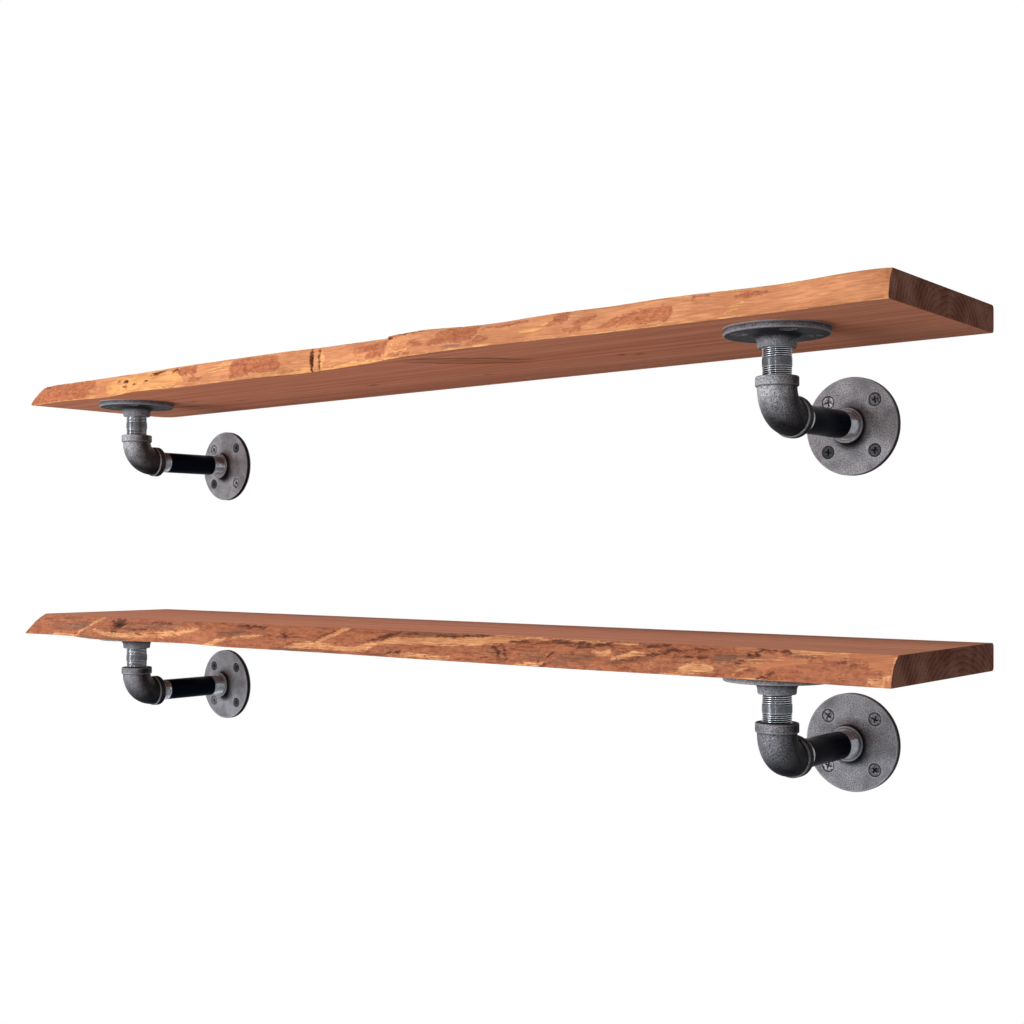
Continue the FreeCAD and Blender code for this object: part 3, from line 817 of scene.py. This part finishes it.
def dressed_board(shelf, marks_drawn, pith, face, stains, branches, hues, line_depth, lips):
    """A board around its CAD solid: the live edge gets the relief and the marks of what grows on it.
    A lip is a bulge of the edge: its start, the length it fades over, how far it stands out at the top, and
    the share of the height it rises from. Lengths on the edge are in millimetres until the mesh is made."""
    sway_along = 1.6
    sway_up = 0.9
    wood_lump = 0.45
    bark_thickness = 0.7
    bark_lump = 0.5
    torn_depth = 0.6
    grey_ridge = 0.8
    crack_slope = 1.2
    crack_depth = 4.5
    rim = 0.5
    soft_rim = 0.8
    node = f"{shelf}_board"
    low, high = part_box(node)
    xs, height_shares, zs, front, back = board_section(node)
    thickness = (high.z - low.z) / mm
    along, up = np.meshgrid(xs / mm, height_shares * thickness, indexing="ij")
    seed = float(shelves.index(shelf) * seeds_per_board)
    bent_along = along + sway_along * drift(along, up, length=9, height=5, seed=seed)
    bent_up = up + sway_up * drift(along, up, length=12, height=5, seed=seed + 1)
    marks = {layer: strokes(bent_along, bent_up, thickness, lines) for layer, lines in marks_drawn.items()}
    bark, pale, grey, dark = (marks[layer] for layer in ("bark", "pale", "grey", "dark"))
    relief = wood_lump * drift(along, up, length=16, height=7, seed=seed + 2)
    bark_lumps = bark_lump * drift(along, up, length=6, height=4, seed=seed + 4)
    relief += step(bark, -rim, rim) * (bark_thickness + bark_lumps)
    relief -= step(pale, -rim, soft_rim) * torn_depth
    relief += step(grey, -rim, soft_rim) * grey_ridge * drift(along, up, length=30, height=2.5, seed=seed + 5)
    relief -= np.clip(crack_slope * dark, 0, crack_depth)
    for start, fade, reach, bottom_share in lips:
        ahead = np.where(along >= start, np.exp(-(along - start) / fade), 0)
        relief += reach * ahead * step(up / thickness, bottom_share, 1)
    mesh = board_mesh(f"{node}_waney", xs, zs, front - relief * mm, back, marks)
    for finish in (planed_cedar(f"{shelf}_planed_cedar", pith, face, stains, branches),
                   waney_edge(f"{shelf}_waney_edge", hues, line_depth), sawn_end(f"{shelf}_sawn_end", pith)):
        mesh.materials.append(finish)
    place_piece(f"{node}_waney", mesh, upright, Vector(), node)


# Strokes on the upper board's edge, roughly from its left end to its right
upper_marks = {
    "bark": [
        [(-615, .5, 15), (-500, .5, 14), (-478, .62, 8)], [(-286, .75, 5), (-262, .72, 5)],
        [(-268, .3, 2.5), (-245, .28, 2)], [(-185, .6, 8), (-120, .55, 9)],
        [(-190, .2, 3), (-170, .28, 3)], [(-165, .25, 1.5), (-140, .35, 2)],
        [(-120, .3, 2), (-118, .75, 1.5)], [(10, .62, 3.5), (55, .66, 5)], [(30, .3, 3), (52, .42, 6)],
        [(102, .52, 1.6), (110, .5, 2.8), (119, .42, 1.2)], [(64, .95, 2), (73, .97, 2.6), (83, .99, 1.6)],
        [(70, .2, 1.5), (86, .16, 1.8)], [(96, .14, 1.5), (104, .13, 1)], [(132, .42, 3), (178, .62, 7)],
        [(140, .75, 3), (180, .85, 3.5)], [(184, .22, 3), (192, .32, 4), (204, .3, 1.5)],
        [(192, .78, 1.2), (225, .8, 1.8), (246, .84, 1)], [(276, .5, 1.5), (284, .75, 5), (292, .8, 5.5)],
        [(308, .5, 2), (316, .58, 3), (326, .66, .8)], [(294, .3, 1), (303, .24, 1.8), (313, .28, .8)],
        [(334, .2, .6), (350, .36, 4), (375, .42, 6.5), (404, .42, 6.5), (407, .6, 2)],
        [(430, .9, 1.2), (443, .9, 1)], [(470, .72, 1.5), (482, .78, 3), (498, .72, 1.5)]],
    "pale": [
        [(-478, .35, 2.5), (-462, .5, 2)],
        [(-440, .45, 7), (-400, .5, 13), (-330, .5, 13), (-295, .42, 8), (-283, .3, 3)],
        [(-232, .45, 1.6), (-200, .62, 1.6), (-194, .7, 1)],
        [(-232, .62, 1.6), (-205, .75, 1.8), (-194, .82, 1.4)], [(-226, .8, 1.2), (-196, .88, 1.2)],
        [(-48, .15, 3), (-44, .5, 4), (-47, .85, 1.5)], [(-48, .03, 2.4), (0, .06, 3), (50, .05, 2)],
        [(-118, .04, 1), (-68, .12, 3.5)], [(-150, .05, 1.2), (-118, .06, 1.2)],
        # The pale strokes from x 62 to 98 by the burl and from x 244 to 272 are painted highlights.
        [(80, .25, 1), (92, .3, 2.2), (98, .28, 1)], [(62, .2, 1), (66, .4, 1.2), (72, .62, 1)],
        [(244, .4, 1.5), (258, .42, 3), (268, .5, 2), (272, .6, 1)], [(463, .42, .8), (477, .46, 1)],
        [(463, .22, .9), (474, .25, 1)], [(-600, 0, 1.3), (609, 0, 1.1)], [(-560, 1, .7), (609, 1, .7)]],
    "grey": [[(150, .16, 1.8), (172, .2, 2.2)]],
    "dark": [
        [(-592, .96, 2.5), (-580, 1, 2.2)], [(-420, .66, .9), (-413, .68, .8)],
        [(-403, .62, 2), (-396, .58, 2.2)], [(-402, .36, 1.2), (-393, .34, 1.4)],
        [(-378, .4, 1), (-372, .38, .9)], [(-356, .46, 1.2), (-349, .5, .9)],
        [(-350, .86, 1), (-337, .8, 2.2), (-326, .88, 1.2), (-318, .95, 1)],
        [(-304, .78, 1), (-296, .86, 1.6), (-290, .78, 1.2), (-289, .66, .9)],
        [(-63, .04, 1.2), (-62, .3, 2.8), (-61, .6, 3.2), (-60, .92, 1.4)],
        [(-50, .05, .7), (-49.5, .6, 1), (-48, .95, .8)],
        [(57, .78, .9), (61, .84, 2), (66, .86, 1.6), (72, .88, .8)],
        [(84, .98, 1.4), (92, .99, 1.8), (118, 1.02, 1.2)]],
}
dressed_board(
    "upper", upper_marks, pith=(-104 * mm, 197 * mm), face=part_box("upper_board")[0].z,
    stains=[(-95, -90, 13, 6, 0, .7), (74, -77, 8, 4.5, 0, .7), (273, -106, 8, 4.5, 0, .7),
            (292, -99, 7, 4, 0, .6), (-450, -80, 60, 9, 16, .5), (-344, -84, 16, 5, 0, .4),
            (-403, -116, 14, 5, 0, .5)],
    branches=[(126, -172, 84, 24, 38, .62)],
    hues={"sapwood": ("#b87249", "#dc9a6e"), "bark": ("#9c4e32", "#bb6b48"), "pale": ("#cd8749", "#edb577"),
          "grey": ("#7b5547", "#b8886f"), "dark": ("#66371f", "#96592f")},
    line_depth=0.4, lips=[(62, 45, 6, 0.3)])

# Strokes on the lower board's edge, roughly from its left end to its right
lower_marks = {
    "bark": [
        [(-615, .5, 14), (450, .5, 14)], [(450, .35, 6), (490, .2, 3)],
        [(500, .2, 4), (530, .28, 7), (560, .3, 8), (596, .28, 6)], [(536, .62, 3), (584, .64, 3)]],
    "pale": [
        [(-548, .06, 1.6), (-495, .05, 1.4)], [(-492, .05, 1.5), (-470, .5, 2.2), (-450, .95, 2.5)],
        [(-480, .3, 1), (-462, .85, 1)],
        [(-447, .42, 1), (-425, .3, 2), (-395, .22, 2.6), (-350, .24, 2.8), (-300, .4, 3),
         (-262, .6, 2.6), (-252, .68, .8)], [(-228, .02, 1), (-212, .15, 3.5), (-196, .3, 2.2)],
        [(-184, .42, 1), (-160, .48, 1.6), (-140, .55, .6)],
        [(-90, .15, 2), (-70, .25, 3.4), (-40, .25, 3), (0, .2, 2.6), (30, .28, 2.4)],
        [(-48, .4, 2.4), (-35, .7, 3.4), (-24, 1, 4)],
        [(0, .16, 1.8), (34, .42, 2), (55, .6, 3), (90, .66, 3.6), (131, .72, 4.6), (175, .8, 4.6),
         (205, .84, 3.6), (232, .92, 1.6)], [(232, .95, 1.2), (320, .95, 1), (360, .96, 1)],
        [(62, .1, 1.2), (100, .1, 1.8), (150, .12, 1)], [(236, .05, 1.4), (268, .07, 1.6)],
        [(318, .58, 2.6), (336, .6, 2.6)], [(348, .5, 1), (360, .6, 2.6), (372, .62, 1.2)],
        [(343, .45, 1), (356, .42, .9)], [(412, .15, 1.6), (420, .24, 4), (438, .27, 4), (445, .24, 2.2)],
        [(466, .12, 1.2), (472, .3, 1.4), (478, .36, .6)], [(506, .94, 1), (530, .92, 1.6), (566, .94, 1)],
        [(395, .02, 1.3), (420, .04, 1)], [(470, .01, .8), (510, 0, 1.2)],
        [(592, .15, 3), (600, .08, 4), (603, .3, 1)], [(606, .1, .8), (609, .95, 1)],
        # This last pale stroke, from x 452 to 510, is a painted highlight on bark flakes.
        [(452, .5, .8), (480, .62, 1), (510, .72, .8)]],
    "grey": [
        [(-556, .55, 3), (-530, .45, 5), (-495, .55, 5.5), (-470, .62, 3)],
        [(-540, .8, 1.5), (-500, .9, 1.5)],
        [(-475, .12, 2.4), (-440, .14, 3.2), (-400, .06, 2.2), (-365, .04, 1.6)],
        [(-380, .62, 3.5), (-350, .66, 3.6), (-300, .72, 2.8), (-275, .8, 1.6)],
        [(-214, .5, 2), (-195, .58, 3), (-178, .66, 2)],
        [(-110, .03, 1), (-80, .03, 1.8), (-20, .02, 1.6), (30, .02, 1.4), (90, .01, 1)],
        [(60, .92, 1.8), (100, .9, 2.4), (135, .93, 1.2)],
        [(190, .5, 1.5), (205, .42, 2.6), (215, .3, 2.2), (222, .15, 1.4)],
        [(236, .36, 3.4), (262, .38, 3.2)], [(284, .3, 3.6), (318, .36, 5)],
        [(340, .28, 1), (362, .42, 1.6), (385, .62, 1.8), (396, .8, 1.2)],
        [(374, .9, 1.5), (392, .96, 1.2)], [(446, .62, 4), (475, .7, 5), (500, .75, 3)],
        [(510, .82, 1.4), (545, .8, 1)]],
    "dark": [
        [(-412, .78, 2.4), (-404, .72, 5), (-396, .68, 4.2), (-390, .72, 1.6)],
        [(-424, .84, .9), (-414, .86, 1.3)], [(-408, .5, .9), (-400, .4, 1.1), (-392, .38, .7)],
        [(-366, .52, .8), (-352, .56, 1), (-342, .54, .7)], [(-340, .86, .8), (-300, .9, .8)],
        [(-195, .92, 1), (-178, .86, 1.6), (-160, .9, 1.2), (-148, .84, 1.4)],
        [(-112, .7, 1), (-104, .55, 1.4), (-98, .4, .8)], [(-92, .2, .7), (-84, .35, .6)],
        [(-52, .55, .7), (-42, .78, .8), (-36, .95, .8)], [(36, .7, 1.5), (46, .78, 3), (58, .9, 2)],
        [(28, .6, .8), (38, .66, 1)], [(70, .92, .8), (84, .9, .7)], [(74, .2, 1.6), (80, .2, 1.4)],
        [(62, .12, .7), (70, .18, .8)], [(112, .88, .8), (146, .9, 1.1), (178, .96, .8)],
        [(196, .62, 1), (206, .45, 1.2), (214, .22, 1)], [(203, .7, .8), (216, .4, 1), (222, .2, .8)],
        [(212, .8, 1), (224, .84, 1.4), (234, .78, 1.2), (242, .7, .8)],
        [(246, .8, .8), (262, .88, 1.2), (330, .86, 1.3), (338, .8, .8)],
        [(298, .76, 1.2), (316, .78, 1.4)], [(262, .2, .7), (270, .36, .8), (274, .55, .7)],
        [(272, .1, .8), (268, .02, .8)], [(346, .32, .8), (372, .5, 1), (390, .7, .9)],
        [(372, .88, .8), (392, .96, 1)], [(392, .72, .8), (400, .82, .9), (412, .74, .7)],
        [(404, .6, .6), (420, .66, .8), (436, .6, .6)], [(418, .86, .7), (440, .84, .8)],
        [(474, .78, 1.3), (484, .76, 1.3)], [(466, .58, 1), (474, .57, .8)],
        [(480, .92, .7), (505, .95, .8), (515, .88, .7)],
        [(490, .06, .8), (498, .14, 1.2), (504, .26, .7)], [(560, .7, 1), (566, .72, .8)]],
}
dressed_board(
    "lower", lower_marks, pith=(-78 * mm, -148 * mm), face=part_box("lower_board")[1].z,
    stains=[(217, -203, 17, 5, 20, .9), (-290, -28, 50, 6, 0, .35)], branches=[],
    hues={"sapwood": ("#a9654a", "#c98459"), "bark": ("#86452f", "#bf7b5a"), "pale": ("#bd7c4f", "#f0b37e"),
          "grey": ("#4d3429", "#8f664f"), "dark": ("#42241a", "#754534")},
    line_depth=0.5, lips=[])


# Floor, light and camera
# A plain white studio: a pale floor well below, a large soft key from the front left, a soft top light, a
# weak fill from below and a narrow strip beside the camera, which stands on the right at half height.

floor_drop = 1.8
floor_half = 20.0
shadow_reach = (0.9, 1.9)
near_glow = 0.45
ambient = 0.08


def seen_rays(tree):
    """1 for rays that show the background: from the camera, or by way of gloss or glass."""
    path = add(tree, "ShaderNodeLightPath").outputs
    mirrored = add(tree, "ShaderNodeMath", {
        0: path["Is Camera Ray"], 1: path["Is Glossy Ray"]}, operation="MAXIMUM")
    return add(tree, "ShaderNodeMath", {0: mirrored, 1: path["Is Transmission Ray"]}, operation="MAXIMUM")


world = bpy.data.worlds.new("studio")
bpy.context.scene.world = world
world.use_nodes = True
sky = world.node_tree
sky.nodes.clear()
white = add(sky, "ShaderNodeBackground", {"Color": (1.0, 1.0, 1.0, 1.0), "Strength": 1.0})
soft = add(sky, "ShaderNodeBackground", {"Color": linear("#f6f5f3"), "Strength": ambient})
shown = add(sky, "ShaderNodeMixShader", {0: seen_rays(sky), 1: soft, 2: white})
add(sky, "ShaderNodeOutputWorld", {"Surface": shown})

floor_mesh = bpy.data.meshes.new("studio_floor")
unit_corners = ((-1, -1), (1, -1), (1, 1), (-1, 1))
floor_corners = [(x * floor_half, y * floor_half, -floor_drop) for x, y in unit_corners]
floor_mesh.from_pydata(floor_corners, [], [(0, 1, 2, 3)])
floor = bpy.data.objects.new("studio_floor", floor_mesh)
bpy.context.scene.collection.objects.link(floor)
paper, paper_tree, paper_shader, paper_place = new_material("white_paper")
paper_shader.inputs["Base Color"].default_value = linear("#c4c4c4")
paper_shader.inputs["Roughness"].default_value = 0.9
paper_shader.inputs["Specular IOR Level"].default_value = 0.1
flat = add(paper_tree, "ShaderNodeVectorMath", {0: paper_place, 1: (1.0, 1.0, 0.0)}, operation="MULTIPLY")
distance = add(paper_tree, "ShaderNodeVectorMath", {0: flat}, operation="LENGTH")
beyond = add(paper_tree, "ShaderNodeMapRange", {
    "Value": distance.outputs["Value"], "From Min": shadow_reach[0], "From Max": shadow_reach[1],
    "To Min": near_glow})
bright = add(paper_tree, "ShaderNodeMath", {0: beyond, 1: seen_rays(paper_tree)}, operation="MULTIPLY")
glow = add(paper_tree, "ShaderNodeEmission", {"Color": (1.0, 1.0, 1.0, 1.0), "Strength": 1.0})
paper_mix = add(paper_tree, "ShaderNodeMixShader", {0: bright, 1: paper_shader.outputs[0], 2: glow})
paper_tree.links.new(paper_mix.outputs[0], paper_tree.nodes["Material Output"].inputs["Surface"])
floor_mesh.materials.append(paper)


def softbox(name, spot, aim, width, height, power):
    """A flat lamp at a spot, turned to face its aim."""
    lamp = bpy.data.lights.new(name, "AREA")
    lamp.shape = "RECTANGLE"
    lamp.size = width
    lamp.size_y = height
    lamp.energy = power
    box = bpy.data.objects.new(name, lamp)
    box.location = spot
    box.rotation_euler = (Vector(aim) - Vector(spot)).to_track_quat("-Z", "Y").to_euler()
    box.visible_camera = False
    bpy.context.scene.collection.objects.link(box)


middle = (0.0, -0.1, 0.0)
upper_middle = (0.0, -0.1, 0.2)
softbox("key", spot=(-2.9, -5.6, 0.0), aim=middle, width=2.0, height=2.2, power=148)
softbox("top", spot=(-1.8, -3.5, 3.9), aim=middle, width=2.2, height=2.2, power=238)
softbox("strip", spot=(1.9, -4.9, 0.1), aim=middle, width=0.2, height=2.0, power=20)
softbox("fill", spot=(-0.8, -1.5, -1.1), aim=upper_middle, width=1.4, height=1.4, power=17)

photo_side = 1024
focal_pixels = 1381.6
sensor_width = 36.0
horizon_pixel = 554.7
camera_turn = math.radians(39.6)
camera_spot = (1.070, -1.241, 0.0286)
view = bpy.data.cameras.new("photo_view")
view.sensor_width = sensor_width
view.lens = focal_pixels * sensor_width / photo_side
view.shift_y = (horizon_pixel - photo_side / 2) / photo_side
camera = bpy.data.objects.new("photo_view", view)
camera.location = camera_spot
camera.rotation_euler = (math.radians(90), 0.0, camera_turn)
bpy.context.scene.collection.objects.link(camera)
bpy.context.scene.camera = camera
bpy.context.scene.view_settings.view_transform = "Standard"
